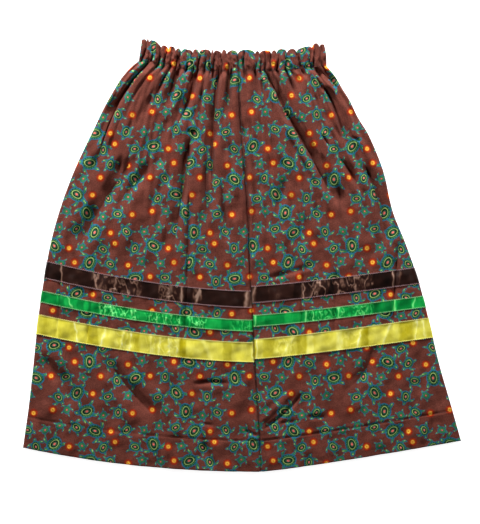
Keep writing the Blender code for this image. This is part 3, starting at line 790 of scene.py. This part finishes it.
def add_print(piece, half, flat, front):
    """Print the motifs on a sheet whose first columns, as many as front says, lie on the front."""
    rows, columns = flat.shape[:2]
    parts = [motif_layers(half, flat[:, : front + 1], False), motif_layers(half, flat[:, front:], True)]
    shapes = [(rows - 1, front), (rows - 1, columns - 1 - front)]
    local = np.concatenate([part[0].reshape(*shape, 4, 2) for part, shape in zip(parts, shapes)], axis=1)
    kind = np.concatenate([part[1].reshape(shape) for part, shape in zip(parts, shapes)], axis=1)
    local = local.reshape(-1, 4, 2)
    set_uv(piece, "motif", local[:, ::-1] if half.side < 0 else local)
    set_values(piece, "kind", "FACE", kind)


def turned_rows(shares, length):
    """Shares and inward steps of a sheet's rows, with the cloth turned in under its last edge."""
    flat = [(share, 0.0) for share in shares]
    flat += [(shares[-1] + past / length, inward) for past, inward in TURN_STEPS]
    return np.array(flat)


def add_cloth(half, name, casing, material):
    """Add a panel's or a casing's sheet, from the stitch line to its turned edge."""
    count = CASING_ROWS if casing else PANEL_ROWS
    length = CASING_HEIGHT if casing else CLOTH_DROP["seam"]
    columns = turns(CASING_COLUMNS if casing else PANEL_COLUMNS)
    rows = turned_rows(np.linspace(0.0, 1.0, count), length)
    turn, share = np.meshgrid(columns, rows[:, 0])
    point, away, flat = half.skin(turn, share, casing)
    point = point - away * rows[:, 1][:, None, None]
    if casing:
        point, flat = point[::-1], flat[::-1]
    piece = add_sheet(name, point, flat, half.side, material)
    add_print(piece, half, flat, (CASING_COLUMNS if casing else PANEL_COLUMNS)[0] + 3)
    return piece


def ribbon_share(half, ribbon, turn, height):
    """Share of a height above a ribbon's lower edge."""
    seam, side = ribbon[half.edge + "_seam"], ribbon[half.edge + "_side"]
    seam_share = 1.0 - (seam + height) / CLOTH_DROP["seam"]
    side_share = 1.0 - (side + height) / CLOTH_DROP[half.edge]
    return seam_share + (side_share - seam_share) * turn_reach(turn)


def span(x, start, end, soft=4.5):
    """1 between two places, 0 outside, with soft ends."""
    return ease((x - start) / soft + 0.5) * ease((end - x) / soft + 0.5)


def ribbon_sheen(name, x, up):
    """Painted sheen, crush with its painted glints, and crease height of a ribbon's front; up is the height
    above its lower edge.
    """
    wander = 0.8 * waves(x, up, 14.0, 81)
    painted_sheen = PLAIN_PAINTED_SHEEN + 0.05 * waves(x, up, 26.0, 82)
    crush_and_painted_glints = PLAIN_CRUSH_AND_PAINTED_GLINTS + 0.0 * x
    crease = 0.0 * x
    for place, width, slant, painted_highlight in CREASES_AND_PAINTED_HIGHLIGHTS[name]:
        line = bell(x + wander - place - slant * (up - 14.0), width)
        # Painted highlight along the crease
        painted_sheen += painted_highlight * line
        crease += line
    for start, end, strength in PAINTED_SHEEN_TONES[name]:
        painted_sheen += strength * span(x + wander, start, end)
    for start, end, strength in CRUSHES_AND_PAINTED_GLINTS[name]:
        crush_and_painted_glints += strength * span(x + 2.0 * wander, start, end, 8.0)
    return painted_sheen, crush_and_painted_glints, crease


def add_ribbon(half, ribbon, material):
    """Add a ribbon's sheet on the panel, its edges pulled down by their stitches."""
    turn, down = np.meshgrid(turns(RIBBON_COLUMNS), np.linspace(1.0, 0.0, RIBBON_ROWS))
    share = ribbon_share(half, ribbon, turn, down * ribbon["width"])
    point, away, flat = half.skin(turn, share)
    name = ribbon["name"]
    shift = np.where(turn > 1.5, BACK_SHIFT, 0.0)
    painted_sheen, crush_and_painted_glints, crease = ribbon_sheen(name, flat[..., 0] + shift, down * ribbon["width"])
    inside = 4.0 * down * (1.0 - down)
    crumple = 0.16 * crush_and_painted_glints * waves(flat[..., 0], flat[..., 1] * 0.5, 8.0, 71)
    lift = 0.3 + inside**0.5 * (0.45 + np.clip(crumple, -0.4, 0.9) + 0.5 * crease)
    piece = add_sheet(f"satin_{name}_{half.edge}", point + away * lift[..., None], flat, half.side, material)
    # Painted sheen and the crush that sets painted glints, read by the satin's colour
    set_values(piece, "painted_sheen", "POINT", painted_sheen)
    set_values(piece, "crush_and_painted_glints", "POINT", crush_and_painted_glints)
    return piece


def linear(*display):
    """Scene-linear colour of an 8-bit display colour."""
    values = [c / 255.0 for c in display]
    return (*[v / 12.92 if v <= 0.04045 else ((v + 0.055) / 1.055) ** 2.4 for v in values], 1.0)


class Material:
    """A Principled material with short calls that add nodes to it."""

    def __init__(self, name, **sockets):
        self.material = bpy.data.materials.new(name)
        self.material.use_nodes = True
        self.tree = self.material.node_tree
        self.shader = self.tree.nodes["Principled BSDF"]
        for socket, value in sockets.items():
            self.shader.inputs[socket.replace("_", " ")].default_value = value

    def add(self, kind, *inputs, **settings):
        """Add a node; each input is a socket to link, a value, or None to leave it."""
        node = self.tree.nodes.new(kind)
        for key, value in settings.items():
            setattr(node, key, value)
        for place, value in enumerate(inputs):
            if isinstance(value, bpy.types.NodeSocket):
                self.tree.links.new(value, node.inputs[place])
            elif value is not None:
                node.inputs[place].default_value = value
        return node

    def math(self, operation, *inputs):
        return self.add("ShaderNodeMath", *inputs, operation=operation).outputs[0]

    def uv(self, name):
        return self.add("ShaderNodeUVMap", uv_map=name).outputs[0]

    def mix(self, factor, first, second, blend="MIX"):
        inputs = (factor, None, None, None, None, None, first, second)
        return self.add("ShaderNodeMix", *inputs, data_type="RGBA", blend_type=blend).outputs[2]

    def ramp(self, value, stops):
        node = self.add("ShaderNodeValToRGB", value)
        ramp = node.color_ramp
        ramp.elements[0].position, ramp.elements[0].color = stops[0]
        ramp.elements[1].position, ramp.elements[1].color = stops[-1]
        for place, colour in stops[1:-1]:
            ramp.elements.new(place).color = colour
        return node.outputs[0]

    def greys(self, value, *stops):
        """Ramp of greys, each with its place."""
        return self.ramp(value, [(place, (grey, grey, grey, 1.0)) for place, grey in stops])

    def inks(self, value, table):
        """Ramp through the inks of a table, each at its places."""
        return self.ramp(value, sorted((place, INK[ink]) for ink in table for place in table[ink]))

    def noise(self, vector, scale, detail=2.0):
        node = self.add("ShaderNodeTexNoise", vector)
        node.inputs["Scale"].default_value = scale
        node.inputs["Detail"].default_value = detail
        return node.outputs[0]

    def bump(self, height, distance, strength=1.0):
        node = self.add("ShaderNodeBump")
        node.inputs["Distance"].default_value = distance
        node.inputs["Strength"].default_value = strength
        self.tree.links.new(height, node.inputs["Height"])
        self.tree.links.new(node.outputs[0], self.shader.inputs["Normal"])

    def colour(self, socket):
        self.tree.links.new(socket, self.shader.inputs["Base Color"])


INK = {
    "ground": linear(111, 57, 46),
    "teal": linear(34, 106, 138),
    "green": linear(44, 116, 80),
    "leaf": linear(72, 138, 80),
    "deep": linear(20, 62, 48),
    "black": linear(20, 36, 26),
    "lime": linear(156, 194, 110),
    "pink": linear(236, 116, 104),
    "yellow": linear(250, 190, 66),
    "amber": linear(240, 140, 34),
    "flame": linear(204, 66, 16),
    "ember": linear(146, 42, 20),
}

# Places of the inks in a limb, a spot on it, a shell, its inner ring and a sun, from the middle, 0, to the
# rim, 1
LIMB = {"leaf": (0.0,), "green": (0.3,), "teal": (0.6, 1.0)}
SPOT = {"lime": (0.0, 0.5), "leaf": (1.0,)}
SHELL = {
    "pink": (0.0, 0.15),
    "deep": (0.26,),
    "leaf": (0.40, 0.74),
    "green": (0.52, 0.64, 0.81),
    "teal": (0.87, 1.0),
}
RING = {
    "pink": (0.0, 0.20),
    "deep": (0.28,),
    "green": (0.38, 1.0),
    "black": (0.46, 0.66, 0.88, 0.95),
    "lime": (0.74, 0.81),
}
SUN = {
    "amber": (0.0, 0.12),
    "yellow": (0.22, 0.37),
    "flame": (0.46, 0.55),
    "ember": (0.68, 0.84),
    "ground": (1.0,),
}

# Limbs, head and their spots: centre, angle, half sizes, bend and inks, in shell half lengths
TURTLE_PARTS = (
    ((-0.85, 0.75), 150, (0.47, 0.20), 0.7, LIMB),
    ((0.57, 0.97), 108, (0.60, 0.21), -1.0, LIMB),
    ((1.10, 0.00), 0, (0.37, 0.30), 0.0, LIMB),
    ((-0.98, 0.84), 150, (0.14, 0.07), 0.0, SPOT),
    ((0.56, 1.16), 100, (0.18, 0.08), 0.0, SPOT),
    ((1.22, 0.00), 0, (0.10, 0.08), 0.0, SPOT),
)
SHELL_SIZES = (1.0, 0.81)
RING_SIZES = (0.77, 0.51)
SCUTES = 14.0
SUN_RAYS = 12.0


def oval(material, point, centre, angle, sizes, bend=0.0):
    """Squared radius in an oval of half sizes about a centre, its long axis turned and bent."""
    cos, sin = math.cos(math.radians(angle)), math.sin(math.radians(angle))
    along = (cos / sizes[0], sin / sizes[0], -(centre[0] * cos + centre[1] * sin) / sizes[0])
    across = (-sin / sizes[1], cos / sizes[1], (centre[0] * sin - centre[1] * cos) / sizes[1])
    a = material.add("ShaderNodeVectorMath", point, along, operation="DOT_PRODUCT").outputs["Value"]
    b = material.add("ShaderNodeVectorMath", point, across, operation="DOT_PRODUCT").outputs["Value"]
    squared = material.math("MULTIPLY", a, a)
    bent = material.math("MULTIPLY_ADD", squared, bend, b)
    return material.math("MULTIPLY_ADD", bent, bent, squared)


def turtle_ink(material, x, y, kind):
    """Colour of a turtle seen from above, in its own coordinates: shell of half length 1, head to +x."""
    bent = material.math("MULTIPLY_ADD", material.math("MULTIPLY", x, x), 0.12, y)
    point = material.add("ShaderNodeCombineXYZ", x, material.math("ABSOLUTE", bent), 1.0).outputs[0]
    colour = INK["ground"]
    for centre, angle, sizes, bend, inks in TURTLE_PARTS:
        squared = oval(material, point, centre, angle, sizes, bend)
        inside = material.math("LESS_THAN", squared, 1.0)
        colour = material.mix(inside, colour, material.inks(squared, inks))
    radius = material.math("SQRT", oval(material, point, (0.0, 0.0), 0, SHELL_SIZES))
    shell = material.inks(radius, SHELL)
    turned = material.math("MULTIPLY", material.math("ARCTAN2", bent, x), SCUTES)
    scutes = material.math("GREATER_THAN", material.math("SINE", turned), 0.1)
    rim = material.math("COMPARE", radius, 0.80, 0.06)
    shell = material.mix(material.math("MULTIPLY", scutes, rim), shell, INK["deep"])
    # Only large and medium shells have the inner ring
    ring = material.math("SQRT", oval(material, point, (0.0, 0.0), 0, RING_SIZES))
    ringed = material.math("GREATER_THAN", kind, MOTIF_KINDS["S"] + 0.5)
    ringed = material.math("MULTIPLY", material.math("LESS_THAN", ring, 1.0), ringed)
    shell = material.mix(ringed, shell, material.inks(ring, RING))
    return material.mix(material.math("LESS_THAN", radius, 1.0), colour, shell)


def sun_ink(material, x, y):
    """Colour of a small sun: a bright disc with a ring in it, and rays round it."""
    radius = material.math("SQRT", material.math("MULTIPLY_ADD", x, x, material.math("MULTIPLY", y, y)))
    turned = material.math("MULTIPLY", material.math("ARCTAN2", y, x), SUN_RAYS)
    rays = material.math("SINE", turned)
    rayed = material.math("MULTIPLY_ADD", rays, material.math("MULTIPLY", radius, 0.09), radius)
    return material.inks(material.math("MULTIPLY", rayed, 0.5), SUN)


# Pitch of the woven threads, in metres
COTTON_THREAD = 0.0006
SATIN_THREAD = 0.0005


def cotton_material():
    """Printed quilting cotton: turtles and suns on red brown, with a fine plain weave."""
    cotton = Material("printed_cotton", Roughness=0.86, Specular_IOR_Level=0.12, Sheen_Weight=0.03)
    cotton.shader.inputs["Sheen Roughness"].default_value = 0.5
    place = cotton.add("ShaderNodeSeparateXYZ", cotton.uv("motif")).outputs
    kind = cotton.add("ShaderNodeAttribute", attribute_name="kind").outputs["Fac"]
    turtle = turtle_ink(cotton, place[0], place[1], kind)
    sun = sun_ink(cotton, place[0], place[1])
    ink = cotton.mix(cotton.math("GREATER_THAN", kind, MOTIF_KINDS["o"] + 0.5), sun, turtle)
    cloth = cotton.uv("cloth")
    mottle = cotton.greys(cotton.noise(cloth, 90.0, 3.0), (0.3, 0.88), (0.7, 1.08))
    grain = cotton.greys(cotton.noise(cloth, 430.0, 2.0), (0.3, 0.70), (0.7, 1.2))
    cotton.colour(cotton.mix(1.0, cotton.mix(1.0, ink, mottle, "MULTIPLY"), grain, "MULTIPLY"))
    axes = cotton.add("ShaderNodeSeparateXYZ", cloth).outputs[:2]
    turned = [cotton.math("MULTIPLY", axis, 2.0 * math.pi / COTTON_THREAD) for axis in axes]
    threads = [cotton.math("SINE", angle) for angle in turned]
    weave = cotton.math("MULTIPLY", threads[0], threads[1])
    crumple = cotton.math("MULTIPLY", cotton.noise(cloth, 160.0, 2.0), 4.0)
    cotton.bump(cotton.math("ADD", weave, crumple), 0.0001, 0.8)
    return cotton.material


# Dark, plain, pale and bright tones of each ribbon: plain is its own colour, dark is painted shade, pale and
# bright are painted highlights
SATIN_COLOUR_AND_PAINTED_SHEEN = {
    "brown": (linear(12, 4, 2), linear(46, 23, 17), linear(112, 80, 66), linear(174, 140, 122)),
    "green": (linear(0, 108, 46), linear(4, 160, 66), linear(48, 204, 96), linear(140, 244, 144)),
    "yellow": (linear(182, 168, 14), linear(224, 214, 72), linear(246, 240, 116), linear(255, 255, 186)),
}
# How fine and how strong the crushed patches of each ribbon are, in their bumps and their painted glints
CRUMPLE_AND_PAINTED_GLINTS = {"brown": (46.0, 0.7), "green": (74.0, 1.0), "yellow": (60.0, 1.0)}
PLAIN_GREY = 0.42


def satin_material(name):
    """Creased polyester satin: glossy, with painted highlights where it is crushed and the painted sheen
    that its sheet carries.
    """
    satin = Material("satin_" + name, Roughness=0.32, Specular_IOR_Level=0.3, Sheen_Weight=0.03)
    satin.shader.inputs["Sheen Roughness"].default_value = 0.3
    cloth = satin.uv("cloth")
    wide = satin.add("ShaderNodeMapping", cloth, None, None, (1.0, 0.55, 1.0)).outputs[0]
    detail, strength = CRUMPLE_AND_PAINTED_GLINTS[name]
    # Painted highlights of crushed satin: thin bright lines between painted dark patches
    crumple = satin.greys(
        satin.noise(wide, detail, 3.0),
        # *((0.30, 0.9), (0.39, 0.3), (0.465, 0.2), (0.50, 1.0), (0.54, 0.4), (0.60, 0.1), (0.68, 0.8)),
        *((0.30, 0.9), (0.39, 0.3), (0.465, 0.2), (0.50, 1.0), (0.54, 0.4), (0.60, 0.1), (0.68, 0.8)),
    )
    painted_sheen = satin.add("ShaderNodeAttribute", attribute_name="painted_sheen").outputs["Fac"]
    crush_and_painted_glints = satin.add("ShaderNodeAttribute", attribute_name="crush_and_painted_glints").outputs["Fac"]
    crumple = satin.math("MULTIPLY", satin.math("SUBTRACT", crumple, PLAIN_GREY), crush_and_painted_glints)
    crumple = satin.math("MULTIPLY", crumple, strength)
    # Painted sheen plus the painted glints of the crush, read through the ramp of painted shade and
    # highlight
    value = satin.math("ADD", painted_sheen, crumple)
    satin.colour(satin.ramp(value, tuple(zip((0.0, 0.35, 0.7, 1.0), SATIN_COLOUR_AND_PAINTED_SHEEN[name]))))
    across = satin.add("ShaderNodeSeparateXYZ", cloth).outputs[0]
    threads = satin.math("SINE", satin.math("MULTIPLY", across, 2.0 * math.pi / SATIN_THREAD))
    weave = satin.math("MULTIPLY", threads, 0.3)
    satin.bump(satin.math("MULTIPLY_ADD", crumple, 8.0, weave), 0.0001, 1.0)
    return satin.material


def thread_material(name, colour):
    """Sewing thread, a little glossy, with the twist of its plies."""
    thread = Material("thread_" + name, Roughness=0.55, Specular_IOR_Level=0.4, Sheen_Weight=0.2)
    position = thread.add("ShaderNodeTexCoord").outputs["Object"]
    plies = thread.noise(position, 2600.0, 1.0)
    dark = tuple(0.7 * c for c in colour[:3]) + (1.0,)
    thread.colour(thread.mix(plies, dark, colour))
    thread.bump(plies, 0.00008, 0.6)
    return thread.material


def tube(path, up, radius):
    """Points and quads of a closed four-sided tube along a path, thin at both ends."""
    step = np.gradient(path, axis=0)
    step /= np.linalg.norm(step, axis=1)[:, None]
    across = np.cross(step, up)
    across /= np.linalg.norm(across, axis=1)[:, None]
    over = np.cross(across, step)
    size = np.full(len(path), radius)
    size[[0, -1]] *= 0.35
    rings = [path + size[:, None] * d for d in (across, over, -across, -over)]
    points = np.stack(rings, axis=1).reshape(-1, 3)
    index = np.arange(len(points)).reshape(-1, 4)
    quads = []
    for k in range(4):
        n = (k + 1) % 4
        quads.append(np.stack([index[:-1, k], index[:-1, n], index[1:, n], index[1:, k]], axis=1))
    ends = np.array([index[0][::-1], index[-1]])
    return points, np.concatenate([*quads, ends])


def add_threads(name, runs, radius, material):
    """Join many thread runs, each a path and its outward directions, in one mesh."""
    points, faces, count = [], [], 0
    for path, up in runs:
        run_points, run_faces = tube(path, up, radius)
        points.append(run_points)
        faces.append(run_faces + count)
        count += len(run_points)
    return add_mesh(name, np.concatenate(points), np.concatenate(faces), material)


# Zigzag: step, how far it reaches in over the ribbon and out over the cotton, its height there, and its runs
ZIGZAG_STEP = 2.1
ZIGZAG_IN = 1.3
ZIGZAG_OUT = 0.6
ZIGZAG_HIGH = 1.1
ZIGZAG_LOW = 0.65
ZIGZAG_RADIUS = 0.42
ZIGZAG_RUN = 60

# Straight stitches: length, gap, thickness, height at both ends and the middle, and where each line lies
STITCH_LENGTH = 2.6
STITCH_GAP = 0.7
STITCH_RADIUS = 0.42
STITCH_ARCH = (-0.2, 0.12, -0.2)
HEM_THREAD_LIFT = 0.3
WAIST_THREAD_LIFT = 0.25
WAIST_SHARE = 0.02


def even_turns(half, share_of, spacing, casing=False):
    """Turn values that lie an even distance apart along a line round the half."""
    fine = turns((400, 12, 400))
    point, _, _ = half.skin(fine, share_of(fine), casing)
    length = np.concatenate([[0.0], np.cumsum(np.linalg.norm(np.diff(point, axis=0), axis=1))])
    count = int(length[-1] / spacing)
    return np.interp(np.linspace(0.5 * spacing, length[-1] - 0.5 * spacing, count), length, fine)


def zigzag_runs(half, ribbon):
    """Thread runs of the zigzag along both edges of a ribbon, on its front, side and back."""
    runs = []
    for edge_height, outward in ((ribbon["width"], 1.0), (0.0, -1.0)):
        spots = even_turns(half, lambda t, h=edge_height: ribbon_share(half, ribbon, t, h), ZIGZAG_STEP)
        outer = np.arange(len(spots)) % 2 == 1
        height = edge_height + outward * np.where(outer, ZIGZAG_OUT, -ZIGZAG_IN)
        point, away, _ = half.skin(spots, ribbon_share(half, ribbon, spots, height))
        path = point + away * np.where(outer, ZIGZAG_LOW, ZIGZAG_HIGH)[:, None]
        for start in range(0, len(path) - 1, ZIGZAG_RUN):
            piece = slice(start, start + ZIGZAG_RUN + 1)
            if len(path[piece]) > 2:
                runs.append((path[piece], away[piece]))
    return runs


def stitch_runs(half, share_of, casing, lift):
    """Thread runs of a straight seam: one short stitch after another."""
    pitch = STITCH_LENGTH + STITCH_GAP
    spots = even_turns(half, share_of, pitch / 3.0, casing)
    count = len(spots) // 3
    spots = spots[: 3 * count]
    point, away, _ = half.skin(spots, share_of(spots), casing)
    height = np.tile([lift + arch for arch in STITCH_ARCH], count)
    path = (point + away * height[:, None]).reshape(count, 3, 3)
    away = away.reshape(count, 3, 3)
    return [(path[k], away[k]) for k in range(count)]


def hem_share(half):
    """Share of the hem's stitch line."""
    return lambda turn: 1.0 - HEM_DEPTH / drop_at(half.side, turn_reach(turn))


def dress(piece, slot, *nodes):
    """Let a piece ride on the skirt and stand for its nodes; its slot is not used."""
    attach(piece, "root")
    if nodes:
        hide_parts(*nodes)


def add_skirt():
    """Make both halves: panels, casings, ribbons and their stitches."""
    cotton = cotton_material()
    satin = {ribbon["name"]: satin_material(ribbon["name"]) for ribbon in RIBBONS}
    threads = {
        "brown": thread_material("mauve", linear(176, 134, 138)),
        "green": thread_material("mint", linear(150, 220, 150)),
        "yellow": thread_material("lemon", linear(255, 250, 150)),
        "dark": thread_material("dark", linear(36, 16, 15)),
    }
    for side, edge in EDGES.items():
        half = Half(side, edge)
        casing = add_cloth(half, f"cotton_casing_{edge}", True, cotton)
        dress(casing, "printed_cotton", f"casing_{edge}")
        panel = add_cloth(half, f"cotton_panel_{edge}", False, cotton)
        dress(panel, "printed_cotton", f"panel_{edge}")
        runs = stitch_runs(half, hem_share(half), False, HEM_THREAD_LIFT)
        hem = add_threads(f"hem_stitches_{edge}", runs, STITCH_RADIUS, threads["dark"])
        dress(hem, "sewing_thread")
        runs = stitch_runs(half, lambda turn: np.full_like(turn, WAIST_SHARE), True, WAIST_THREAD_LIFT)
        waist = add_threads(f"waist_stitches_{edge}", runs, STITCH_RADIUS, threads["dark"])
        dress(waist, "sewing_thread")
        for ribbon in RIBBONS:
            name = ribbon["name"]
            piece = add_ribbon(half, ribbon, satin[name])
            dress(piece, f"satin_{name}", f"ribbon_{name}_{edge}")
            runs = zigzag_runs(half, ribbon)
            zigzag = add_threads(f"{name}_zigzag_{edge}", runs, ZIGZAG_RADIUS, threads[name])
            dress(zigzag, "sewing_thread")


def add_floor():
    """A plain white table top, a hair under the skirt."""
    bpy.ops.mesh.primitive_plane_add(size=12.0, location=(0.0, 0.0, -0.0004))
    floor = bpy.context.object
    floor.name = "floor"
    white = Material("floor_white", Roughness=0.9, Specular_IOR_Level=0.1)
    white.shader.inputs["Base Color"].default_value = (0.86, 0.86, 0.86, 1.0)
    white.shader.inputs["Emission Color"].default_value = (1.0, 1.0, 1.0, 1.0)
    white.shader.inputs["Emission Strength"].default_value = 0.93
    floor.data.materials.append(white.material)


def add_light(name, place, power):
    """A square soft light at a place in metres, faced to the skirt."""
    data = bpy.data.lights.new(name, "AREA")
    data.size = LIGHT_SIZE
    data.energy = power
    light = add_object(name, data)
    light.location = place
    light.rotation_euler = (-light.location).to_track_quat("-Z", "Y").to_euler()


def add_studio():
    """Soft key from beyond the waist, plain white surroundings and the view transform."""
    add_light("key", (-0.4, 2.95, 1.0), 192.0)
    add_light("left", (-2.5, 1.5, 1.2), 46.0)
    add_light("right", (2.5, 1.5, 1.2), 36.0)
    world = bpy.data.worlds.new("studio")
    world.use_nodes = True
    background = world.node_tree.nodes["Background"].inputs
    background["Color"].default_value = (1.0, 1.0, 1.0, 1.0)
    background["Strength"].default_value = 0.06
    bpy.context.scene.world = world
    bpy.context.scene.view_settings.view_transform = "Standard"


def add_camera():
    """A long lens straight above the skirt."""
    data = bpy.data.cameras.new("camera")
    data.lens = LENS
    data.sensor_width = SENSOR
    data.clip_end = 20.0
    camera = add_object("camera", data)
    distance = FRAME_HEIGHT * LENS / SENSOR
    camera.location = (FRAME_CENTRE[0] * MM, FRAME_CENTRE[1] * MM, distance * MM)
    bpy.context.scene.camera = camera


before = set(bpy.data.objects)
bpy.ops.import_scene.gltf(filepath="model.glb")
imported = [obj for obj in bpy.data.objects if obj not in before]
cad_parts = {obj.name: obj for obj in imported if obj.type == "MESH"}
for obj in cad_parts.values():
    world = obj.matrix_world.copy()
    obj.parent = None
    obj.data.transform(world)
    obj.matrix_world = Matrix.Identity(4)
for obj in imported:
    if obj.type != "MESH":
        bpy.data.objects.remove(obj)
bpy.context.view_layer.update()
add_camera()
add_studio()
add_floor()
add_skirt()
